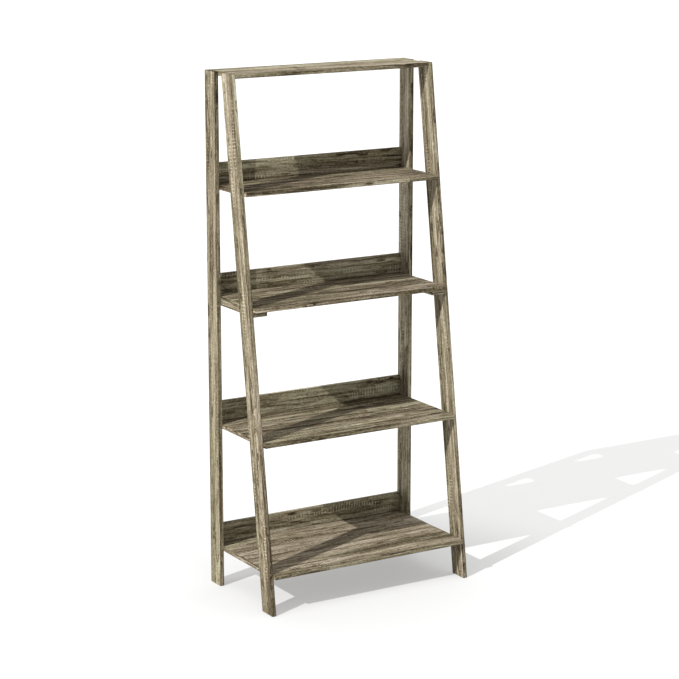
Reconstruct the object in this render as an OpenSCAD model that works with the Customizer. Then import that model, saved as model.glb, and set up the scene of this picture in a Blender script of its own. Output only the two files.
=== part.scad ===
// Ladder shelf: two A-shaped side frames, a top board and four shelves that deepen downwards.
// The origin is on the floor under the middle of the object. +X is to the right seen from the
// front, +Y is to the back and +Z is up.

/* [Overall] */
// Height to the top of the side frames
overall_h = 1388; // [1320:1:1460]
// Width over the outer faces of the side frames
overall_w = 611; // [450:1:900]
// Depth on the floor, from the front of the legs to the back of the posts
floor_d = 338; // [280:1:400]
// Depth at the top, from the front of the legs to the back of the posts
top_d = 143; // [125:1:200]

/* [Boards] */
// Thickness of every board
board_t = 12; // [12:0.5:16]
// Width of the strips that the posts, legs and back lips are cut from
strip_w = 53; // [50:1:58]

/* [Shelves] */
// Height of the upper shelf's top face above the floor
upper_shelf_h = 1092; // [1050:1:1130]
// Height of the middle shelf's top face above the floor
middle_shelf_h = 797; // [760:1:830]
// Height of the lower shelf's top face above the floor
lower_shelf_h = 450; // [420:1:480]
// Height of the bottom shelf's top face above the floor
bottom_shelf_h = 109; // [80:1:140]
// How far each shelf's front edge stands in front of the legs
shelf_proud = 12; // [2:1:20]

/* [Cleats] */
// Width of the two cleats under the middle shelf
cleat_w = 40; // [36:1:50]
// How far the cleats' front ends stand in front of the legs
cleat_proud = 2; // [0:0.5:4]

/* [Fittings] */
// Diameter of a cam lock
cam_d = 12; // [10:0.5:12]
// Distance from a board's end to the middle of its cam locks
cam_setback = 24; // [22:1:26]
// Diameter of a wooden dowel
dowel_d = 6; // [5:0.5:6]
// Length of a wooden dowel
dowel_l = 28; // [24:1:32]
// Distance between the cam bolt and the dowel of one joint
fitting_pitch = 26; // [24:1:28]
// Diameter of a wood screw's shank
screw_d = 3.5; // [3:0.5:4]
// Distance between neighbouring screws of one back lip
lip_screw_pitch = 210; // [140:5:215]

/* [Hidden] */
$fn = 40;

// Colours
oak_light = [0.60, 0.56, 0.48];
oak_mid = [0.54, 0.50, 0.43];
oak_dark = [0.47, 0.43, 0.37];
beech = [0.80, 0.66, 0.46];
zinc = [0.66, 0.67, 0.69];
steel = [0.55, 0.56, 0.58];

// Planes of the frame
y_back = floor_d / 2;
x_inner = overall_w / 2 - board_t;
post_mid_y = y_back - strip_w / 2;

// The legs lean back, so a level cut through a leg is wider than the strip
leg_lean = atan((floor_d - top_d) / overall_h);
leg_w = strip_w / cos(leg_lean);
function leg_front_y(z) = y_back - floor_d + (floor_d - top_d) * z / overall_h;
function leg_mid_y(z) = leg_front_y(z) + leg_w / 2;

// Heights of the boards' mid-planes
function mid_z(top_z) = top_z - board_t / 2;
cleat_top_z = middle_shelf_h - board_t;
cam_joint_zs = [
    mid_z(overall_h), mid_z(upper_shelf_h), mid_z(cleat_top_z),
    mid_z(lower_shelf_h), mid_z(bottom_shelf_h)
];
shelf_hs = [upper_shelf_h, middle_shelf_h, lower_shelf_h, bottom_shelf_h];
function lip_mid_z(shelf_h) = shelf_h + strip_w / 2;

// Fittings
hole_play = 0.1;
cut_over = 1;
cam_play = 0.2;
cam_h = 9.3;
cam_arm_z = 3.4;
cam_head_pocket_d = 8;
cam_neck_slot_w = 4.8;
cam_cross_l = 7;
cam_cross_w = 1.2;
cam_cross_depth = 1.6;
bolt_thread_d = 5;
bolt_thread_l = 8;
bolt_shank_d = 4.5;
bolt_neck_d = 3.2;
bolt_head_d = 6.2;
bolt_head_l = 3;
bolt_neck_l = 2.5;
bolt_bore_d = 7;
dowel_in_frame = 8;
dowel_chamfer = 0.8;
screw_head_d = 2 * screw_d;
screw_head_h = screw_d * 0.6;
screw_point_l = 4;
screw_cross_l = 0.6 * screw_head_d;
screw_cross_w = 0.9;
lip_screw_l = 40;
cleat_screw_l = 20;
cleat_screw_dy = 45;

// ---- Places where fittings go ----

// Level joints of one height: [middle of the strip in Y, side on which the dowel lies]
function joints_at(z) = [[post_mid_y, 1], [leg_mid_y(z), -1]];

module on_both_sides() {
    children();
    mirror([1, 0, 0]) children();
}

module at_cam_bolts(zs) {
    on_both_sides()
        for (z = zs, j = joints_at(z))
            translate([x_inner, j[0] - j[1] * fitting_pitch / 2, z]) children();
}

module at_frame_dowels(zs) {
    on_both_sides()
        for (z = zs, j = joints_at(z))
            translate([x_inner, j[0] + j[1] * fitting_pitch / 2, z]) children();
}

module at_lip_dowels(hs) {
    on_both_sides()
        for (h = hs)
            translate([x_inner, y_back - board_t / 2, lip_mid_z(h)]) children();
}

module at_lip_screws(hs) {
    for (h = hs, i = [-1, 0, 1])
        translate([i * lip_screw_pitch, y_back - board_t / 2, h - board_t]) children();
}

module at_cleat_screws() {
    cleat_mid_y = (y_back + leg_front_y(cleat_top_z) - cleat_proud) / 2;
    on_both_sides()
        for (i = [-1, 1])
            translate([x_inner - cleat_w / 2, cleat_mid_y + i * cleat_screw_dy, cleat_top_z - board_t])
                children();
}

// ---- Holes, each drawn at its fitting's place ----

module along_x(d, x0, x1) {
    translate([x0, 0, 0]) rotate([0, 90, 0]) cylinder(d = d, h = x1 - x0);
}

module thread_hole() {
    along_x(bolt_thread_d + 2 * hole_play, -cut_over, bolt_thread_l + hole_play);
}

module cam_hole() {
    along_x(bolt_bore_d, -cam_setback, cut_over);
    translate([-cam_setback, 0, -board_t / 2 - cut_over])
        cylinder(d = cam_d + 2 * hole_play, h = cam_h + cam_play + hole_play + cut_over);
}

module dowel_hole() {
    along_x(dowel_d + 2 * hole_play, dowel_in_frame - dowel_l - hole_play, dowel_in_frame + hole_play);
}

module screw_hole(length) {
    clear_d = screw_d + 2 * hole_play;
    clear_head_d = screw_head_d + 2 * hole_play;
    translate([0, 0, -cut_over]) cylinder(d = clear_d, h = length + cut_over + hole_play);
    cylinder(d1 = clear_head_d, d2 = clear_d, h = screw_head_h + hole_play);
}

// ---- Boards ----

module level_board(depth, top_z) {
    translate([-x_inner, y_back - depth, top_z - board_t]) cube([2 * x_inner, depth, board_t]);
}

module post(side) {
    x0 = side < 0 ? -overall_w / 2 : x_inner;
    difference() {
        translate([x0, y_back - strip_w, 0]) cube([board_t, strip_w, overall_h]);
        at_cam_bolts(cam_joint_zs) thread_hole();
        at_frame_dowels(cam_joint_zs) dowel_hole();
        at_lip_dowels(shelf_hs) dowel_hole();
    }
}

module leg(side) {
    x0 = side < 0 ? -overall_w / 2 : x_inner;
    y_foot = leg_front_y(0);
    y_top = leg_front_y(overall_h);
    outline = [[y_foot, 0], [y_foot + leg_w, 0], [y_top + leg_w, overall_h], [y_top, overall_h]];
    difference() {
        translate([x0, 0, 0]) rotate([90, 0, 90]) linear_extrude(board_t) polygon(outline);
        at_cam_bolts(cam_joint_zs) thread_hole();
        at_frame_dowels(cam_joint_zs) dowel_hole();
    }
}

function shelf_depth(top_z) = y_back - leg_front_y(top_z) + shelf_proud;

module cam_shelf(top_z, depth) {
    difference() {
        level_board(depth, top_z);
        at_cam_bolts([mid_z(top_z)]) cam_hole();
        at_frame_dowels([mid_z(top_z)]) dowel_hole();
        children();
    }
}

module back_lip(shelf_h) {
    difference() {
        translate([-x_inner, y_back - board_t, shelf_h]) cube([2 * x_inner, board_t, strip_w]);
        at_lip_dowels([shelf_h]) dowel_hole();
        at_lip_screws([shelf_h]) screw_hole(lip_screw_l);
    }
}

module cleat(side) {
    x0 = side < 0 ? -x_inner : x_inner - cleat_w;
    y_front = leg_front_y(cleat_top_z) - cleat_proud;
    difference() {
        translate([x0, y_front, cleat_top_z - board_t]) cube([cleat_w, y_back - y_front, board_t]);
        at_cam_bolts([mid_z(cleat_top_z)]) cam_hole();
        at_frame_dowels([mid_z(cleat_top_z)]) dowel_hole();
        at_cleat_screws() screw_hole(cleat_screw_l);
    }
}

module post_left() { color(oak_mid) post(-1); }
module post_right() { color(oak_mid) post(1); }
module leg_left() { color(oak_light) leg(-1); }
module leg_right() { color(oak_light) leg(1); }
module top_board() { color(oak_light) cam_shelf(overall_h, top_d); }

module shelf_upper() {
    color(oak_mid) cam_shelf(upper_shelf_h, shelf_depth(upper_shelf_h))
        at_lip_screws([upper_shelf_h]) screw_hole(lip_screw_l);
}

module shelf_middle() {
    color(oak_mid) difference() {
        level_board(shelf_depth(middle_shelf_h), middle_shelf_h);
        at_lip_screws([middle_shelf_h]) screw_hole(lip_screw_l);
        at_cleat_screws() screw_hole(cleat_screw_l);
    }
}

module shelf_lower() {
    color(oak_mid) cam_shelf(lower_shelf_h, shelf_depth(lower_shelf_h))
        at_lip_screws([lower_shelf_h]) screw_hole(lip_screw_l);
}

module shelf_bottom() {
    color(oak_mid) cam_shelf(bottom_shelf_h, shelf_depth(bottom_shelf_h))
        at_lip_screws([bottom_shelf_h]) screw_hole(lip_screw_l);
}

module back_lip_upper() { color(oak_dark) back_lip(upper_shelf_h); }
module back_lip_middle() { color(oak_dark) back_lip(middle_shelf_h); }
module back_lip_lower() { color(oak_dark) back_lip(lower_shelf_h); }
module back_lip_bottom() { color(oak_dark) back_lip(bottom_shelf_h); }
module cleat_left() { color(oak_dark) cleat(-1); }
module cleat_right() { color(oak_dark) cleat(1); }

// ---- Fittings ----

// Cross-shaped drive recess cut into a face that looks down
module cross_recess(length, width, depth) {
    for (a = [0, 90])
        rotate([0, 0, a]) translate([-length / 2, -width / 2, -cut_over])
            cube([length, width, depth + cut_over]);
}

module cam_lock() {
    z_face = cam_play - board_t / 2;
    translate([-cam_setback, 0, 0]) difference() {
        translate([0, 0, z_face]) cylinder(d = cam_d, h = cam_h);
        translate([0, 0, -cam_arm_z]) cylinder(d = cam_head_pocket_d, h = cam_h);
        translate([0, -cam_neck_slot_w / 2, -cam_arm_z]) cube([cam_d, cam_neck_slot_w, cam_h]);
        translate([0, 0, z_face]) cross_recess(cam_cross_l, cam_cross_w, cam_cross_depth);
    }
}

module cam_bolt() {
    x_head = -cam_setback - bolt_head_l / 2;
    x_neck = x_head + bolt_head_l;
    x_shank = x_neck + bolt_neck_l;
    along_x(bolt_head_d, x_head, x_neck);
    along_x(bolt_neck_d, x_neck, x_shank);
    along_x(bolt_shank_d, x_shank, 0);
    along_x(bolt_thread_d, 0, bolt_thread_l);
}

module dowel() {
    r = dowel_d / 2;
    outline = [
        [0, 0], [r - dowel_chamfer, 0], [r, dowel_chamfer],
        [r, dowel_l - dowel_chamfer], [r - dowel_chamfer, dowel_l], [0, dowel_l]
    ];
    translate([dowel_in_frame - dowel_l, 0, 0]) rotate([0, 90, 0]) rotate_extrude() polygon(outline);
}

module wood_screw(length) {
    r = screw_d / 2;
    outline = [
        [0, 0], [screw_head_d / 2, 0], [r, screw_head_h], [r, length - screw_point_l], [0, length]
    ];
    difference() {
        rotate_extrude() polygon(outline);
        cross_recess(screw_cross_l, screw_cross_w, screw_head_h);
    }
}

module cam_locks() { color(zinc) at_cam_bolts(cam_joint_zs) cam_lock(); }
module cam_bolts() { color(steel) at_cam_bolts(cam_joint_zs) cam_bolt(); }
module lip_screws() { color(steel) at_lip_screws(shelf_hs) wood_screw(lip_screw_l); }
module cleat_screws() { color(steel) at_cleat_screws() wood_screw(cleat_screw_l); }

module dowels() {
    color(beech) {
        at_frame_dowels(cam_joint_zs) dowel();
        at_lip_dowels(shelf_hs) dowel();
    }
}

post_left();
post_right();
leg_left();
leg_right();
top_board();
shelf_upper();
shelf_middle();
shelf_lower();
shelf_bottom();
back_lip_upper();
back_lip_middle();
back_lip_lower();
back_lip_bottom();
cleat_left();
cleat_right();
cam_locks();
cam_bolts();
dowels();
lip_screws();
cleat_screws();
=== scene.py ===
"""Looks of the ladder shelf: eased laminate boards, detailed fittings, a pale floor and soft light."""

import math

import bmesh
import bpy
from mathutils import Matrix, Vector


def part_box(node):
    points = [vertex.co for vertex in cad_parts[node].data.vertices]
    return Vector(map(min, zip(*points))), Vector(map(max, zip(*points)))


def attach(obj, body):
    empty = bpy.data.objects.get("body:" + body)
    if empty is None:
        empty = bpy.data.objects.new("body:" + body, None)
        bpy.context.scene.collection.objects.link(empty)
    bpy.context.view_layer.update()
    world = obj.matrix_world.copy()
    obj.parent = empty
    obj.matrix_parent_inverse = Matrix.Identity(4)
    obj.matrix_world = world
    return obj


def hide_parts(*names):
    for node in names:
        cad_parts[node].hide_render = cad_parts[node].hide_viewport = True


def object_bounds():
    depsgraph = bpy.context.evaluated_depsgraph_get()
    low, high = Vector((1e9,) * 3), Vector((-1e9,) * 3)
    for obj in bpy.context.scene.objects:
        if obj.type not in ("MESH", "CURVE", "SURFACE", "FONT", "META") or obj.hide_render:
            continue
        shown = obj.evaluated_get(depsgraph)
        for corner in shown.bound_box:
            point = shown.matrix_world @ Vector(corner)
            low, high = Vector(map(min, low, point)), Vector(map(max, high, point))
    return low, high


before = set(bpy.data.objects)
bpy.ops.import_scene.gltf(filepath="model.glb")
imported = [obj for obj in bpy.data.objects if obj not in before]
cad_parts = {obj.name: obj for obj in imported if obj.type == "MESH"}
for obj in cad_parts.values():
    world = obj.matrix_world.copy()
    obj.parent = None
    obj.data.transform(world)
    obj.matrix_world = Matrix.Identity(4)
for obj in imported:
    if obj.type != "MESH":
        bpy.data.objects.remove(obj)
cad_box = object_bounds()
MM = 0.001

X_AXIS, Y_AXIS, Z_AXIS = Vector((1, 0, 0)), Vector((0, 1, 0)), Vector((0, 0, 1))


# ---------------------------------------------------------------- node trees


class Tree:
    """A material whose nodes are added by short calls. A value is a number, a tuple or a socket."""

    def __init__(self, name):
        self.material = bpy.data.materials.new(name)
        self.material.use_nodes = True
        self.nodes = self.material.node_tree.nodes
        self.links = self.material.node_tree.links
        self.nodes.clear()
        self.shader = self.nodes.new("ShaderNodeBsdfPrincipled")
        output = self.nodes.new("ShaderNodeOutputMaterial")
        self.links.new(self.shader.outputs[0], output.inputs["Surface"])

    def put(self, value, socket):
        if isinstance(value, bpy.types.NodeSocket):
            self.links.new(value, socket)
        elif isinstance(value, (tuple, list)) and len(value) == 3 and socket.type == "RGBA":
            socket.default_value = (*value, 1)
        else:
            socket.default_value = value

    def math(self, operation, a, b=0.0, clamp=False):
        node = self.nodes.new("ShaderNodeMath")
        node.operation = operation
        node.use_clamp = clamp
        self.put(a, node.inputs[0])
        self.put(b, node.inputs[1])
        return node.outputs[0]

    def add(self, *values):
        total = values[0]
        for value in values[1:]:
            total = self.math("ADD", total, value)
        return total

    def times(self, a, b):
        return self.math("MULTIPLY", a, b)

    def centred(self, value, gain):
        """Turns a 0 to 1 value into one around zero, gain wide."""
        return self.times(self.math("SUBTRACT", value, 0.5), gain)

    def vector(self, x, y, z):
        node = self.nodes.new("ShaderNodeCombineXYZ")
        for value, socket in zip((x, y, z), node.inputs):
            self.put(value, socket)
        return node.outputs[0]

    def parts(self, vector):
        node = self.nodes.new("ShaderNodeSeparateXYZ")
        self.put(vector, node.inputs[0])
        return node.outputs[0], node.outputs[1], node.outputs[2]

    def attribute(self, name):
        node = self.nodes.new("ShaderNodeAttribute")
        node.attribute_name = name
        return node

    def noise(self, vector, detail=2.0, roughness=0.5, scale=1.0):
        node = self.nodes.new("ShaderNodeTexNoise")
        self.put(vector, node.inputs["Vector"])
        node.inputs["Scale"].default_value = scale
        node.inputs["Detail"].default_value = detail
        node.inputs["Roughness"].default_value = roughness
        return node.outputs["Fac"]

    def remap(self, value, low, high, to_low=0.0, to_high=1.0):
        """Carries low to high over to to_low to to_high, with a smooth start and end."""
        node = self.nodes.new("ShaderNodeMapRange")
        node.interpolation_type = "SMOOTHSTEP"
        for item, socket in zip((value, low, high, to_low, to_high), node.inputs):
            self.put(item, socket)
        return node.outputs[0]

    def mix(self, factor, a, b, blend="MIX"):
        node = self.nodes.new("ShaderNodeMix")
        node.data_type = "RGBA"
        node.blend_type = blend
        self.put(factor, node.inputs[0])
        self.put(a, node.inputs[6])
        self.put(b, node.inputs[7])
        return node.outputs[2]

    def ramp(self, factor, stops):
        node = self.nodes.new("ShaderNodeValToRGB")
        elements = node.color_ramp.elements
        while len(elements) < len(stops):
            elements.new(1.0)
        for element, (place, colour) in zip(elements, stops):
            element.position = place
            element.color = (*colour, 1)
        self.put(factor, node.inputs[0])
        return node.outputs["Color"]

    def bump(self, height, strength, distance):
        node = self.nodes.new("ShaderNodeBump")
        node.inputs["Strength"].default_value = strength
        node.inputs["Distance"].default_value = distance
        self.put(height, node.inputs["Height"])
        self.put(node.outputs[0], self.shader.inputs["Normal"])

    def set(self, **values):
        names = {"colour": "Base Color", "roughness": "Roughness", "metallic": "Metallic"}
        for name, value in values.items():
            self.put(value, self.shader.inputs[names[name]])


# ---------------------------------------------------------------- oak laminate

OAK_STOPS = [
    (0.00, (0.031, 0.023, 0.013)),
    (0.25, (0.102, 0.081, 0.049)),
    (0.50, (0.197, 0.167, 0.117)),
    (0.75, (0.306, 0.269, 0.200)),
    (1.00, (0.455, 0.420, 0.335)),
]
OLIVE = (0.97, 1.00, 0.90)
TAUPE = (1.01, 0.965, 0.97)

# Layers of soft and fine streaks: cycles per metre along and across the grain, noise detail, range of tone
STREAKS = [
    (0.8, 18.0, 1.0, 0.22),
    (2.2, 55.0, 1.0, 0.30),
    (3.6, 95.0, 1.0, 0.24),
    (5.0, 165.0, 1.5, 0.32),
    (15.0, 330.0, 1.0, 0.27),
    (60.0, 1300.0, 2.0, 0.16),
]
KNOT_LENGTH = 0.34
KNOT_WIDTH = 0.075
KNOT_SCATTER = 0.9
KNOT_REACH = 0.42
KNOT_SEED_STEPS = (7.3, 3.1)
RING_RATE = 62.0
RING_SHARPNESS = 3.5
RING_SWAY = 16.0
RINGS_ROUND_KNOT = 6.0
SAW_PITCH = 0.0088
SAW_UNEVENNESS = 11.0
WANDER_REACH = 0.022
KNOT_PUSH = 0.010

# How far each feature lightens the print, or darkens it where negative
BASE_TONE = 0.46
RING_TONE = -0.36
CRACK_TONE = -0.50
KNOT_TONE = -0.20
PORE_TONE = -0.12
FLECK_TONE = 0.20
SAW_TONE = 0.50

# How far each feature stands up, or is sunk where negative, as shares of the relief's depth
PORE_RELIEF = -0.8
CRACK_RELIEF = -1.0
SAW_RELIEF = 0.4
FLECK_RELIEF = 0.2

OAK_RELIEF = 0.25
OAK_RELIEF_DEPTH = 0.2 * MM
OAK_ROUGHNESS = (0.80, 0.62)
OAK_SPECULAR = 0.12

# Salts that set the layers of noise apart. The streaks take the numbers from 0.
WANDER, SWAY, RING_FADE, CRACK, CRACK_GROUP = 50.0, 60.0, 61.0, 70.0, 71.0
UNEVEN, SAW_PATCH, SAW_LENGTH, PORE, FLECK, HUE = 80.0, 81.0, 82.0, 90.0, 91.0, 95.0


def layer(tree, place, along_rate, across_rate, salt, detail=1.0):
    """Noise drawn out along the grain, at so many cycles per metre along and across it."""
    along, across, seed = place
    spot = tree.vector(tree.times(along, along_rate), tree.times(across, across_rate), tree.add(seed, salt))
    return tree.noise(spot, detail)


def knots(tree, place):
    """How near the closest knot is, 1 at its heart, and 0 in the many stretches that have none."""
    along, across, seed = place
    node = tree.nodes.new("ShaderNodeTexVoronoi")
    node.voronoi_dimensions = "2D"
    node.inputs["Randomness"].default_value = KNOT_SCATTER
    tree.put(
        tree.vector(
            tree.add(tree.times(along, 1 / KNOT_LENGTH), tree.times(seed, KNOT_SEED_STEPS[0])),
            tree.add(tree.times(across, 1 / KNOT_WIDTH), tree.times(seed, KNOT_SEED_STEPS[1])),
            0.0,
        ),
        node.inputs["Vector"],
    )
    chance, _, _ = tree.parts(node.outputs["Color"])
    near = tree.remap(node.outputs["Distance"], KNOT_REACH, 0.0)
    return tree.times(near, tree.remap(chance, 0.45, 0.85))


def rings(tree, place, knot):
    """Growth rings: each darkens slowly and ends at a sharp line, and they close round a knot."""
    _, across, _ = place
    sway = layer(tree, place, 1.5, 11.0, SWAY)
    phase = tree.add(
        tree.times(across, RING_RATE),
        tree.times(sway, RING_SWAY),
        tree.times(knot, RINGS_ROUND_KNOT),
    )
    line = tree.math("POWER", tree.math("FRACT", phase), RING_SHARPNESS)
    return tree.times(line, tree.remap(layer(tree, place, 3.0, 30.0, RING_FADE), 0.38, 0.62))


def cracks(tree, place):
    """Short dark checks that come in groups."""
    short = layer(tree, place, 10.0, 125.0, CRACK, detail=2.0)
    group = layer(tree, place, 3.0, 24.0, CRACK_GROUP)
    return tree.times(tree.remap(short, 0.58, 0.68), tree.remap(group, 0.48, 0.60))


def saw_marks(tree, place, amount):
    """Light ticks straight across the grain, a blade's pitch apart, in patches. amount is 0 for none."""
    along, _, _ = place
    uneven = layer(tree, place, 8.0, 9.0, UNEVEN)
    phase = tree.add(tree.times(along, 2 * math.pi / SAW_PITCH), tree.times(uneven, SAW_UNEVENNESS))
    comb = tree.remap(tree.math("SINE", phase), 0.2, 0.9)
    patch = tree.remap(layer(tree, place, 5.0, 52.0, SAW_PATCH), 0.58, 0.65)
    length = tree.remap(layer(tree, place, 95.0, 85.0, SAW_LENGTH), 0.38, 0.50)
    return tree.times(tree.times(comb, amount), tree.times(patch, length))


def oak_print(tree):
    """The printed oak: returns its lightness from 0 to 1, its hue from olive to taupe, and its relief."""
    along, across, seed = tree.parts(tree.attribute("grain").outputs["Vector"])
    # board_tone includes the painted light and shade on the narrow edges.
    board_tone, board_hue, board_saw = tree.parts(tree.attribute("finish").outputs["Vector"])
    knot = knots(tree, (along, across, seed))
    wander = layer(tree, (along, across, seed), 1.6, 6.0, WANDER, detail=2.0)
    across = tree.add(across, tree.centred(wander, WANDER_REACH), tree.times(knot, KNOT_PUSH))
    place = (along, across, seed)

    streaks = 0.0
    for number, (along_rate, across_rate, detail, span) in enumerate(STREAKS):
        streak = tree.remap(layer(tree, place, along_rate, across_rate, number, detail), 0.36, 0.64)
        streaks = tree.add(streaks, tree.centred(streak, span))
    ring, crack, saw = rings(tree, place, knot), cracks(tree, place), saw_marks(tree, place, board_saw)
    pore = tree.remap(layer(tree, place, 55.0, 1500.0, PORE), 0.62, 0.72)
    fleck = tree.remap(layer(tree, place, 130.0, 280.0, FLECK), 0.38, 0.66)
    tone = tree.add(
        BASE_TONE,
        board_tone,
        tree.times(streaks, tree.attribute("contrast").outputs["Fac"]),
        tree.times(ring, RING_TONE),
        tree.times(crack, CRACK_TONE),
        tree.times(knot, KNOT_TONE),
        tree.times(pore, PORE_TONE),
        tree.centred(fleck, FLECK_TONE),
        tree.times(saw, SAW_TONE),
    )
    relief = tree.add(
        tree.times(pore, PORE_RELIEF),
        tree.times(crack, CRACK_RELIEF),
        tree.times(saw, SAW_RELIEF),
        tree.times(fleck, FLECK_RELIEF),
    )
    hue = tree.remap(layer(tree, place, 1.0, 20.0, HUE), 0.35, 0.65, 0.2, 0.8)
    return tree.math("ADD", tone, 0.0, clamp=True), tree.math("ADD", hue, board_hue, clamp=True), relief


def oak_colour(tree, tone, hue):
    colour = tree.ramp(tone, OAK_STOPS)
    olive = tree.mix(1.0, colour, OLIVE, "MULTIPLY")
    taupe = tree.mix(1.0, colour, TAUPE, "MULTIPLY")
    return tree.mix(hue, olive, taupe)


def oak_material(name, shade):
    """shade multiplies the print's colour."""
    tree = Tree(name)
    tone, hue, relief = oak_print(tree)
    colour = tree.mix(1.0, oak_colour(tree, tone, hue), shade, "MULTIPLY")
    tree.set(colour=colour, roughness=tree.remap(tone, 0.0, 1.0, *OAK_ROUGHNESS))
    tree.shader.inputs["Specular IOR Level"].default_value = OAK_SPECULAR
    tree.bump(relief, OAK_RELIEF, OAK_RELIEF_DEPTH)
    return tree.material


CHIP_STOPS = [
    (0.3, (0.20, 0.13, 0.07)),
    (0.5, (0.42, 0.30, 0.18)),
    (0.7, (0.60, 0.47, 0.31)),
]
CHIP_RATE = 700.0


def chipboard_material():
    """The bare core, seen in the drilled holes and under the feet."""
    tree = Tree("chipboard")
    grain = tree.attribute("grain").outputs["Vector"]
    chips = tree.noise(grain, detail=4.0, roughness=0.7, scale=CHIP_RATE)
    tree.set(colour=tree.ramp(chips, CHIP_STOPS), roughness=0.85)
    tree.bump(chips, 0.6, 0.4 * MM)
    return tree.material


OAK_FACE = oak_material("oak_face", (1.0, 1.0, 1.0))
OAK_EDGE = oak_material("oak_edge", (0.97, 0.97, 0.97))
OAK_ARRIS = oak_material("oak_arris", (0.50, 0.48, 0.44))
CHIPBOARD = chipboard_material()
FACE, EDGE, ARRIS, CORE = range(4)

# ---------------------------------------------------------------- boards

EASE = 0.9 * MM
EASE_SEGMENTS = 2
NEAR_SIDE = EASE * 1.01
FLAT = 1e-5
WELD = 1e-6
FLAT_ANGLE = math.radians(0.5)
ARRIS_ANGLE = 0.5

# Limits for the cosine of the angle between the way a face looks and another way
SAME_WAY = 0.999
WIDE_WAY = 0.9
END_WAY = 0.8
EDGE_WAY = 0.7

# Steps of the print's seed from one stretch to the next, and from one side of a board to the next
STRETCH_STEP = 13.7
SIDE_STEP = 2.9

# The number that both ends of a board have as a side. Its four long sides take 1 to 4.
END_SIDE = 5.0


def welded(node):
    bm = bmesh.new()
    bm.from_mesh(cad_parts[node].data)
    bmesh.ops.remove_doubles(bm, verts=bm.verts, dist=WELD)
    return bm


def hull_face(face, verts):
    """True if the whole board lies behind this face, which is so on its six outer sides only."""
    point = face.verts[0].co
    return all((v.co - point).dot(face.normal) < FLAT for v in verts)


def board_mesh(node):
    """A board's CAD mesh, welded, with its long and short arrises eased. Its drilled holes stay."""
    bm = welded(node)
    bmesh.ops.dissolve_limit(bm, angle_limit=FLAT_ANGLE, verts=bm.verts, edges=bm.edges)
    bm.normal_update()
    outer = {f for f in bm.faces if hull_face(f, bm.verts)}
    arrises = [
        e for e in bm.edges
        if len(e.link_faces) == 2 and all(f in outer for f in e.link_faces)
        and e.calc_face_angle() > ARRIS_ANGLE
    ]
    sides = [(f.normal.copy(), f.verts[0].co.dot(f.normal)) for f in outer]
    bmesh.ops.bevel(bm, geom=arrises, offset=EASE, segments=EASE_SEGMENTS, profile=0.5, affect="EDGES")
    bm.normal_update()
    return bm, sides


def sides_near(vert, sides):
    """How many of the board's outer sides a point is as near to as the eased arrises are."""
    return sum(1 for normal, reach in sides if abs(vert.co.dot(normal) - reach) < NEAR_SIDE)


def region(face, sides, wide):
    """Which finish a face of the eased board has."""
    for normal, reach in sides:
        if face.normal.dot(normal) > SAME_WAY and abs(face.verts[0].co.dot(normal) - reach) < FLAT:
            if abs(normal.dot(wide)) > WIDE_WAY:
                return FACE
            return CORE if face.calc_center_median().z < EASE else EDGE
    near = min(abs(v.co.dot(normal) - reach) for v in face.verts for normal, reach in sides)
    on_rim = all(sides_near(v, sides) >= 2 for v in face.verts)
    return ARRIS if on_rim and near < EASE else CORE


def finish_board(node, stretch, grain, wide, looks):
    """The visible board: node's shape, with a stretch of the print that runs along grain.

    wide is the way that the board's wide faces look.
    """
    tone, slope, edge_tone_and_painted_light, hue, saw, contrast = looks
    bm, sides = board_mesh(node)
    low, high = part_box(node)
    middle = (low + high) / 2
    half = abs((high - low).dot(Vector([abs(c) for c in grain]))) / 2
    print_place = bm.loops.layers.float_vector.new("grain")
    # The finish attribute carries each point's tone, hue and saw marks; the tone holds the edges' painted
    # light and shade.
    print_finish_and_painted_light = bm.loops.layers.float_vector.new("finish")
    print_contrast = bm.loops.layers.float.new("contrast")
    thick = grain.cross(wide)
    for face in bm.faces:
        face.material_index = region(face, sides, wide)
        face.smooth = False
        normal = face.normal
        on_edge = abs(normal.dot(wide)) < EDGE_WAY
        if abs(normal.dot(grain)) > END_WAY:
            along, across, side = thick, wide, END_SIDE
        else:
            along, across = grain, wide if on_edge else thick
            side = 1.0 + 2.0 * on_edge + (normal.dot(wide + thick) > 0)
        seed = stretch * STRETCH_STEP + side * SIDE_STEP
        for loop in face.loops:
            offset = loop.vert.co - middle
            loop[print_place] = Vector((offset.dot(along), offset.dot(across), seed))
            # The edges' tone lightens or darkens the narrow sides: partly their print, partly painted light
            # and shade.
            loop_tone = tone + slope * offset.dot(grain) / half + edge_tone_and_painted_light * on_edge
            loop[print_finish_and_painted_light] = Vector((loop_tone, hue, 0.0 if on_edge else saw))
            loop[print_contrast] = contrast
    mesh = bpy.data.meshes.new(node + "_board")
    bm.to_mesh(mesh)
    bm.free()
    for material in (OAK_FACE, OAK_EDGE, OAK_ARRIS, CHIPBOARD):
        mesh.materials.append(material)
    piece = bpy.data.objects.new(node + "_board", mesh)
    bpy.context.scene.collection.objects.link(piece)
    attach(piece, "root")
    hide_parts(node)


leg_low, leg_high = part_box("leg_left")
leg_verts = [v.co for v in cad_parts["leg_left"].data.vertices]
foot_front = min(v.y for v in leg_verts if v.z < FLAT)
top_front = min(v.y for v in leg_verts if v.z > leg_high.z - FLAT)
LEG_GRAIN = Vector((0, top_front - foot_front, leg_high.z - leg_low.z)).normalized()
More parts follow.
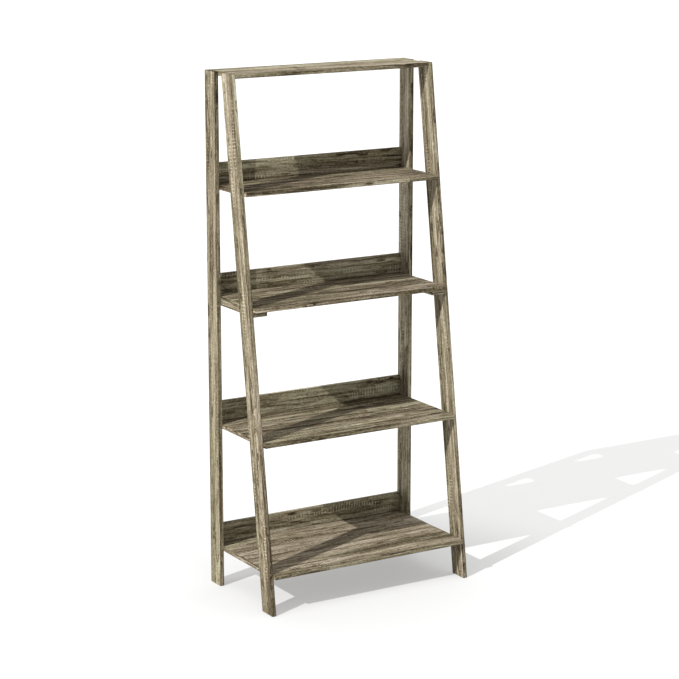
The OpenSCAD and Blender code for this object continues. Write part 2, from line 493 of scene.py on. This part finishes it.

# node: (grain, wide side's direction,
#        (tone, its change towards one end, tone of the edges, which is partly print and partly painted
#         light and shade on the narrow sides, hue, saw marks, contrast of the streaks))
# The back lips' raised tone is partly their print and partly painted light on their front faces.
LIP = (X_AXIS, Y_AXIS, (0.20, 0.0, 0.0, -0.3, 1.0, 0.80))
CLEAT = (Y_AXIS, Z_AXIS, (0.0, 0.0, 0.0, 0.0, 0.0, 1.0))
BOARDS = {
    "post_left": (Z_AXIS, X_AXIS, (0.02, 0.0, -0.11, -0.1, 0.5, 0.68)),
    "post_right": (Z_AXIS, X_AXIS, (0.16, 0.0, -0.08, -0.1, 0.5, 0.75)),
    "leg_left": (LEG_GRAIN, X_AXIS, (0.05, 0.14, -0.05, 0.0, 0.7, 0.85)),
    "leg_right": (LEG_GRAIN, X_AXIS, (0.07, 0.0, -0.05, 0.0, 0.7, 0.85)),
    "top_board": (X_AXIS, Z_AXIS, (0.06, 0.0, -0.09, 0.0, 0.4, 0.90)),
    "shelf_upper": (X_AXIS, Z_AXIS, (-0.18, 0.0, 0.03, 0.1, 0.8, 0.95)),
    "shelf_middle": (X_AXIS, Z_AXIS, (-0.09, 0.0, 0.13, 0.1, 0.9, 0.95)),
    "shelf_lower": (X_AXIS, Z_AXIS, (-0.07, 0.0, 0.0, 0.0, 0.9, 0.88)),
    "shelf_bottom": (X_AXIS, Z_AXIS, (0.05, 0.0, 0.02, 0.0, 0.9, 0.80)),
    # Its raised tone, like the other lips', is partly painted light on its front face.
    "back_lip_upper": (X_AXIS, Y_AXIS, (0.11, 0.0, 0.0, -0.3, 1.0, 0.80)),
    "back_lip_middle": LIP,
    "back_lip_lower": LIP,
    "back_lip_bottom": LIP,
    "cleat_left": CLEAT,
    "cleat_right": CLEAT,
}
# Boards cut from another stretch of the print than their turn gives them
OTHER_STRETCH = {
    "post_left": 100,
    "shelf_upper": 45,
    "shelf_middle": 126,
    "shelf_lower": 47,
    "shelf_bottom": 88,
    "back_lip_upper": 49,
    "back_lip_lower": 71,
}
for number, (name, (grain_way, wide_way, looks)) in enumerate(BOARDS.items()):
    finish_board(name, OTHER_STRETCH.get(name, number), grain_way, wide_way, looks)

# ---------------------------------------------------------------- fittings

X_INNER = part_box("post_right")[0].x
THREAD_STEPS = 4
THREAD_SIDES = 16
THREAD_RIDGE = 0.32
POINT_SHARE = 0.12
OVERLAP = 0.05 * MM

# Radii of the cam bolt's parts, as shares of its thread's radius
BOLT_HEAD = 1.24
BOLT_NECK = 0.64
BOLT_SHANK = 0.9
BOLT_COLLAR = 1.18

# Its lengths and its thread
BOLT_SIDES = 32
BOLT_HEAD_L = 3.0 * MM
BOLT_NECK_L = 2.5 * MM
BOLT_COLLAR_L = 1.2 * MM
BOLT_THREAD_DEPTH = 0.9 * MM
BOLT_PITCH = 1.75 * MM
BOLT_POINT_L = 1.5 * MM

# Radii of a wood screw's head and neck and the head's depth, as shares of its thread's radius
SCREW_HEAD = 2.0
SCREW_NECK = 0.8
SCREW_HEAD_DEPTH = 1.2

# Its thread and its point
SCREW_THREAD_DEPTH = 0.5 * MM
SCREW_POINT_L = 4.0 * MM
LIP_SCREW_PITCH = 1.8 * MM
CLEAT_SCREW_PITCH = 1.6 * MM

# The cross in a screw's head, as shares of the head's radius, and the rim of the head
CROSS_ARM = 1.25
CROSS_WIDTH = 0.26
HEAD_RIM = 0.12 * MM
HEAD_SIDES = 48

DOWEL_CHAMFER = 0.8 * MM
FLUTES = 18
FLUTE_DEPTH = 0.22 * MM
SIDES_PER_FLUTE = 4

# The cam lock's eased rim, and where its edge and its arrow lie, as shares of the cam's radius
CAM_RIM = 0.35 * MM
CAM_EDGE = 0.98
ARROW_TIP = 0.86
ARROW_BASE = 0.66
ARROW_HALF = 0.13
ARROW_PROUD = 0.12 * MM
ARROW_SUNK = 0.10 * MM


BEECH_STOPS = [
    (0.3, (0.45, 0.29, 0.15)),
    (0.7, (0.66, 0.47, 0.28)),
]
WORN = 0.72


def metal_material(name, colour, roughness, brushed):
    """Plated metal with darker worn patches, and with fine lines of brushed cycles per metre."""
    tree = Tree(name)
    place = tree.nodes.new("ShaderNodeNewGeometry").outputs["Position"]
    x, y, z = tree.parts(place)
    wear = tree.noise(place, detail=3.0, scale=260.0)
    lines = tree.noise(tree.vector(tree.times(x, brushed), tree.times(y, brushed), tree.times(z, 300.0)), 2.0)
    dark = tuple(c * WORN for c in colour)
    tree.set(
        colour=tree.mix(tree.remap(wear, 0.35, 0.7), colour, dark),
        roughness=tree.add(roughness, tree.centred(wear, 0.25), tree.centred(lines, 0.12)),
    )
    tree.shader.inputs["Metallic"].default_value = 1.0
    tree.bump(tree.add(wear, lines), 0.15, 0.1 * MM)
    return tree.material


def beech_material():
    """Beech with its fibres along the dowels."""
    tree = Tree("beech")
    place = tree.nodes.new("ShaderNodeNewGeometry").outputs["Position"]
    x, y, z = tree.parts(place)
    fibre = tree.noise(tree.vector(tree.times(x, 60.0), tree.times(y, 1400.0), tree.times(z, 1400.0)), 3.0)
    tree.set(colour=tree.ramp(fibre, BEECH_STOPS), roughness=tree.remap(fibre, 0.3, 0.7, 0.75, 0.6))
    tree.bump(fibre, 0.3, 0.1 * MM)
    return tree.material


ZINC = metal_material("zinc", (0.56, 0.57, 0.58), 0.42, 900.0)
STEEL = metal_material("plated_steel", (0.62, 0.61, 0.58), 0.30, 1500.0)
BEECH = beech_material()


def islands(bm):
    """The separate solids of a mesh, each as a list of its points."""
    left = set(bm.verts)
    found = []
    for start in bm.verts:
        if start not in left:
            continue
        left.discard(start)
        island, edge_of_walk = [start], [start]
        while edge_of_walk:
            for edge in edge_of_walk.pop().link_edges:
                for vert in edge.verts:
                    if vert in left:
                        left.discard(vert)
                        island.append(vert)
                        edge_of_walk.append(vert)
        found.append(island)
    return found


def box_of(verts):
    """The lowest and highest corners of some points."""
    low = Vector([min(v.co[i] for v in verts) for i in range(3)])
    high = Vector([max(v.co[i] for v in verts) for i in range(3)])
    return low, high


def solids_of(node):
    """The box of each separate solid of a CAD node."""
    bm = welded(node)
    boxes = [box_of(island) for island in islands(bm)]
    bm.free()
    return boxes


def turn(bm, heights, sides, radius, matrix):
    """A closed body round matrix's Z axis: radius(height number, height, angle) gives its surface."""
    rings = []
    for number, height in enumerate(heights):
        ring = []
        for side in range(sides):
            angle = 2 * math.pi * side / sides
            reach = radius(number, height, angle)
            point = Vector((reach * math.cos(angle), reach * math.sin(angle), height))
            ring.append(bm.verts.new(matrix @ point))
        rings.append(ring)
    for lower, upper in zip(rings, rings[1:]):
        for side in range(sides):
            after = (side + 1) % sides
            bm.faces.new((lower[side], lower[after], upper[after], upper[side]))
    bm.faces.new(rings[0][::-1])
    bm.faces.new(rings[-1])


def steps(start, end, size):
    """Evenly spaced numbers from start to end, about size apart."""
    count = max(1, round((end - start) / size))
    return [start + (end - start) * i / count for i in range(count + 1)]


def threaded(bm, matrix, start, end, crest, depth, pitch, taper):
    """A thread from start to end that fades out at both ends and comes to a point over its last stretch."""

    def radius(number, height, angle):
        wave = (height / pitch - angle / (2 * math.pi)) % 1.0
        ridge = 1.0 - min(1.0, abs(wave - 0.5) / THREAD_RIDGE)
        fade = min(1.0, (height - start) / pitch, (end - height) / pitch)
        thin = min(1.0, POINT_SHARE + (1.0 - POINT_SHARE) * (end - height) / taper)
        return (crest - depth + depth * ridge * max(0.0, fade)) * thin

    turn(bm, steps(start, end, pitch / THREAD_STEPS), THREAD_SIDES, radius, matrix)


def cross_reach(angle, arm, width):
    """How far a cross-shaped recess reaches from its middle at an angle."""
    off = abs((angle + math.pi / 4) % (math.pi / 2) - math.pi / 4)
    if math.tan(off) < width / arm:
        return arm / 2 / math.cos(off)
    return width / 2 / math.sin(off)


def turned_profile(bm, matrix, sides, profile):
    """profile is a list of (height, radius)."""
    turn(bm, [h for h, _ in profile], sides, lambda number, height, angle: profile[number][1], matrix)


def countersunk_head(bm, matrix, head_r, neck_r, depth):
    """A flat screw head: a cone with a cross-shaped drive pressed into it."""
    arm, width = head_r * CROSS_ARM, head_r * CROSS_WIDTH

    def radius(number, height, angle):
        recess = cross_reach(angle, arm, width)
        return [recess * 0.25, recess * 0.75, recess, head_r - HEAD_RIM, head_r, neck_r][number]

    turn(bm, [0.75 * depth, 0.45 * depth, 0.0, 0.0, HEAD_RIM, depth], HEAD_SIDES, radius, matrix)


def finish_fitting(node, bm, material, smooth_angle=0.6):
    """The detailed piece for a fitting's node, shaded smooth where it bends by less than smooth_angle."""
    bmesh.ops.recalc_face_normals(bm, faces=bm.faces)
    for face in bm.faces:
        face.smooth = True
    for edge in bm.edges:
        edge.smooth = len(edge.link_faces) == 2 and edge.calc_face_angle() < smooth_angle
    mesh = bpy.data.meshes.new(node + "_detailed")
    bm.to_mesh(mesh)
    bm.free()
    mesh.materials.append(material)
    piece = bpy.data.objects.new(node + "_detailed", mesh)
    bpy.context.scene.collection.objects.link(piece)
    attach(piece, "root")
    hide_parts(node)


def outward(low, high):
    """A frame at a fitting's middle on the joint's plane, with its Z axis out of the shelf along X."""
    side = 1.0 if low.x > 0 else -1.0
    middle = (low + high) / 2
    turn_to = Vector((side, 0, 0)).to_track_quat("Z", "Y").to_matrix().to_4x4()
    return Matrix.Translation((side * X_INNER, middle.y, middle.z)) @ turn_to


def bolt_profile(tip, thread_r):
    """A cam bolt's rounded head, neck, shank and collar, from the head's tip to the joint's plane at 0."""
    head_r, neck_r = thread_r * BOLT_HEAD, thread_r * BOLT_NECK
    shank_r, collar_r = thread_r * BOLT_SHANK, thread_r * BOLT_COLLAR
    neck_start = tip + BOLT_HEAD_L
    neck_end = neck_start + BOLT_NECK_L
    return [
        (tip, head_r * 0.55),
        (tip + 0.5 * MM, head_r * 0.88),
        (tip + 1.2 * MM, head_r),
        (neck_start - 0.3 * MM, head_r),
        (neck_start, head_r * 0.9),
        (neck_start, neck_r),
        (neck_end, neck_r),
        (neck_end + 0.3 * MM, shank_r),
        (-BOLT_COLLAR_L, shank_r),
        (-BOLT_COLLAR_L, collar_r),
        (-0.1 * MM, collar_r),
        (0.0, thread_r * 0.8),
    ]


def make_cam_bolts():
    """Cam bolts with a rounded head for the cam, a collar, and a coarse thread in the post or leg."""
    bm = bmesh.new()
    for low, high in solids_of("cam_bolts"):
        thread_r = (high.y - low.y) / 2 / BOLT_HEAD
        far = max(abs(low.x), abs(high.x)) - X_INNER
        tip = min(abs(low.x), abs(high.x)) - X_INNER
        matrix = outward(low, high)
        turned_profile(bm, matrix, BOLT_SIDES, bolt_profile(tip, thread_r))
        threaded(bm, matrix, -OVERLAP, far, thread_r, BOLT_THREAD_DEPTH, BOLT_PITCH, BOLT_POINT_L)
    finish_fitting("cam_bolts", bm, STEEL)


def make_screws(node, pitch):
    """Countersunk wood screws, head down."""
    bm = bmesh.new()
    for low, high in solids_of(node):
        head_r = (high.x - low.x) / 2
        crest = head_r / SCREW_HEAD
        head_l = crest * SCREW_HEAD_DEPTH
        length = high.z - low.z
        matrix = Matrix.Translation(((low.x + high.x) / 2, (low.y + high.y) / 2, low.z))
        countersunk_head(bm, matrix, head_r, crest * SCREW_NECK, head_l)
        threaded(bm, matrix, head_l - OVERLAP, length, crest, SCREW_THREAD_DEPTH, pitch, SCREW_POINT_L)
    finish_fitting(node, bm, STEEL)


def make_dowels():
    """Beech dowels with pressed flutes and chamfered ends."""
    bm = bmesh.new()
    for low, high in solids_of("dowels"):
        reach = (high.y - low.y) / 2
        start = min(abs(low.x), abs(high.x)) - X_INNER
        end = start + high.x - low.x
        heights = [start, start + DOWEL_CHAMFER, end - DOWEL_CHAMFER, end]

        def radius(number, height, angle):
            if number in (0, 3):
                return reach - DOWEL_CHAMFER
            return reach - FLUTE_DEPTH * (0.5 - 0.5 * math.cos(FLUTES * angle))

        turn(bm, heights, FLUTES * SIDES_PER_FLUTE, radius, outward(low, high))
    finish_fitting("dowels", bm, BEECH, smooth_angle=0.9)


def add_arrow(bm, centre, side, reach):
    """A thin three-sided arrowhead on a cam's face, pointing to side along X."""
    tip = centre.x + side * ARROW_TIP * reach
    base = centre.x + side * ARROW_BASE * reach
    half = ARROW_HALF * reach
    outline = [(tip, centre.y), (base, centre.y + half), (base, centre.y - half)]
    lower = [bm.verts.new((x, y, centre.z - ARROW_PROUD)) for x, y in outline]
    upper = [bm.verts.new((x, y, centre.z + ARROW_SUNK)) for x, y in outline]
    bm.faces.new(lower)
    bm.faces.new(upper[::-1])
    for i in range(3):
        bm.faces.new((lower[i], upper[i], upper[(i + 1) % 3], lower[(i + 1) % 3]))


def make_cam_locks():
    """Each cam housing: the CAD shape with its rim eased and a raised arrow that points at its bolt."""
    bm = welded("cam_locks")
    bmesh.ops.dissolve_limit(bm, angle_limit=FLAT_ANGLE, verts=bm.verts, edges=bm.edges)
    rims, arrows = [], []
    for island in islands(bm):
        low, high = box_of(island)
        middle, reach = (low + high) / 2, (high.y - low.y) / 2
        on_rim = [
            v for v in island
            if v.co.z < low.z + FLAT and (v.co.xy - middle.xy).length > CAM_EDGE * reach
        ]
        rims += [e for v in on_rim for e in v.link_edges if e.other_vert(v) in on_rim]
        arrows.append((Vector((middle.x, middle.y, low.z)), math.copysign(1.0, middle.x), reach))
    rims = list(dict.fromkeys(rims))
    bmesh.ops.bevel(bm, geom=rims, offset=CAM_RIM, segments=2, profile=0.5, affect="EDGES")
    for centre, side, reach in arrows:
        add_arrow(bm, centre, side, reach)
    finish_fitting("cam_locks", bm, ZINC)


make_cam_bolts()
make_screws("lip_screws", LIP_SCREW_PITCH)
make_screws("cleat_screws", CLEAT_SCREW_PITCH)
make_dowels()
make_cam_locks()

# ---------------------------------------------------------------- studio

FLOOR_HALF = 40.0
FLOOR_PALE = (0.36, 0.36, 0.358)
FLOOR_DIM = (0.35, 0.35, 0.348)
FLOOR_GLOW_NEAR = 0.36
FLOOR_GLOW_FAR = 0.52
GLOW_CHANGES_FROM = 0.35
GLOW_CHANGES_TO = 0.80
AIM_DROP = 0.024
CAMERA_DISTANCE = 5.94
CAMERA_AZIMUTH = math.radians(-31.22)
CAMERA_PITCH = math.radians(12.78)
CAMERA_LENS = 118.4
LIGHT_WAY = Vector((1.207, 0.380, -1.0))
SUN_STRENGTH = 4.7
SUN_ANGLE = math.radians(0.6)
SKY_HORIZON = 1.0
SKY_SIDES = 0.42
HORIZON_TOP = 0.14
SIDES_START = 0.34
SKY_OVERHEAD = 2.0
SKY_NARROWNESS = 6.0


def make_floor():
    """A pale floor that glows a little, more so away from the shelf, so that its long shadow stays light."""
    bm = bmesh.new()
    bmesh.ops.create_grid(bm, x_segments=8, y_segments=8, size=FLOOR_HALF)
    mesh = bpy.data.meshes.new("studio_floor")
    bm.to_mesh(mesh)
    bm.free()
    floor = bpy.data.objects.new("studio_floor", mesh)
    bpy.context.scene.collection.objects.link(floor)
    tree = Tree("pale_floor")
    place = tree.nodes.new("ShaderNodeNewGeometry").outputs["Position"]
    x, y, _ = tree.parts(place)
    reach = tree.math("SQRT", tree.add(tree.times(x, x), tree.times(y, y)))
    cloud = tree.noise(place, detail=3.0, scale=3.0)
    tree.set(colour=tree.mix(cloud, FLOOR_PALE, FLOOR_DIM), roughness=0.8)
    tree.shader.inputs["Emission Color"].default_value = (1.0, 1.0, 0.995, 1)
    tree.put(
        tree.remap(reach, GLOW_CHANGES_FROM, GLOW_CHANGES_TO, FLOOR_GLOW_NEAR, FLOOR_GLOW_FAR),
        tree.shader.inputs["Emission Strength"],
    )
    mesh.materials.append(tree.material)


def make_sky():
    """A pale band round the horizon, an even grey above it and a broad soft light overhead."""
    world = bpy.data.worlds.new("sky")
    world.use_nodes = True
    nodes, links = world.node_tree.nodes, world.node_tree.links
    split = nodes.new("ShaderNodeSeparateXYZ")
    links.new(nodes.new("ShaderNodeTexCoord").outputs["Generated"], split.inputs[0])
    band = nodes.new("ShaderNodeMapRange")
    band.interpolation_type = "SMOOTHSTEP"
    for value, socket in zip((HORIZON_TOP, SIDES_START, SKY_HORIZON, SKY_SIDES), band.inputs[1:5]):
        socket.default_value = value
    above = nodes.new("ShaderNodeMath")
    above.operation = "MAXIMUM"
    above.inputs[1].default_value = 0.0
    narrow = nodes.new("ShaderNodeMath")
    narrow.operation = "POWER"
    narrow.inputs[1].default_value = SKY_NARROWNESS
    strength = nodes.new("ShaderNodeMath")
    strength.operation = "MULTIPLY_ADD"
    strength.inputs[1].default_value = SKY_OVERHEAD
    links.new(split.outputs[2], band.inputs[0])
    links.new(split.outputs[2], above.inputs[0])
    links.new(above.outputs[0], narrow.inputs[0])
    links.new(narrow.outputs[0], strength.inputs[0])
    links.new(band.outputs[0], strength.inputs[2])
    links.new(strength.outputs[0], nodes["Background"].inputs["Strength"])
    nodes["Background"].inputs["Color"].default_value = (1.0, 1.0, 1.0, 1)
    return world


def make_light():
    sun = bpy.data.lights.new("key", "SUN")
    sun.energy = SUN_STRENGTH
    sun.angle = SUN_ANGLE
    lamp = bpy.data.objects.new("key", sun)
    lamp.rotation_mode = "QUATERNION"
    lamp.rotation_quaternion = LIGHT_WAY.to_track_quat("-Z", "Y")
    bpy.context.scene.collection.objects.link(lamp)
    bpy.context.scene.world = make_sky()
    bpy.context.scene.view_settings.view_transform = "Standard"


def make_camera():
    low, high = cad_box
    aim = (low + high) / 2 - Vector((0, 0, AIM_DROP))
    back = Vector((
        math.sin(CAMERA_AZIMUTH) * math.cos(CAMERA_PITCH),
        -math.cos(CAMERA_AZIMUTH) * math.cos(CAMERA_PITCH),
        math.sin(CAMERA_PITCH),
    ))
    data = bpy.data.cameras.new("camera")
    data.lens = CAMERA_LENS
    data.clip_end = 200.0
    camera = bpy.data.objects.new("camera", data)
    camera.location = aim + back * CAMERA_DISTANCE
    camera.rotation_mode = "QUATERNION"
    camera.rotation_quaternion = (-back).to_track_quat("-Z", "Y")
    bpy.context.scene.collection.objects.link(camera)
    bpy.context.scene.camera = camera


make_floor()
make_light()
make_camera()
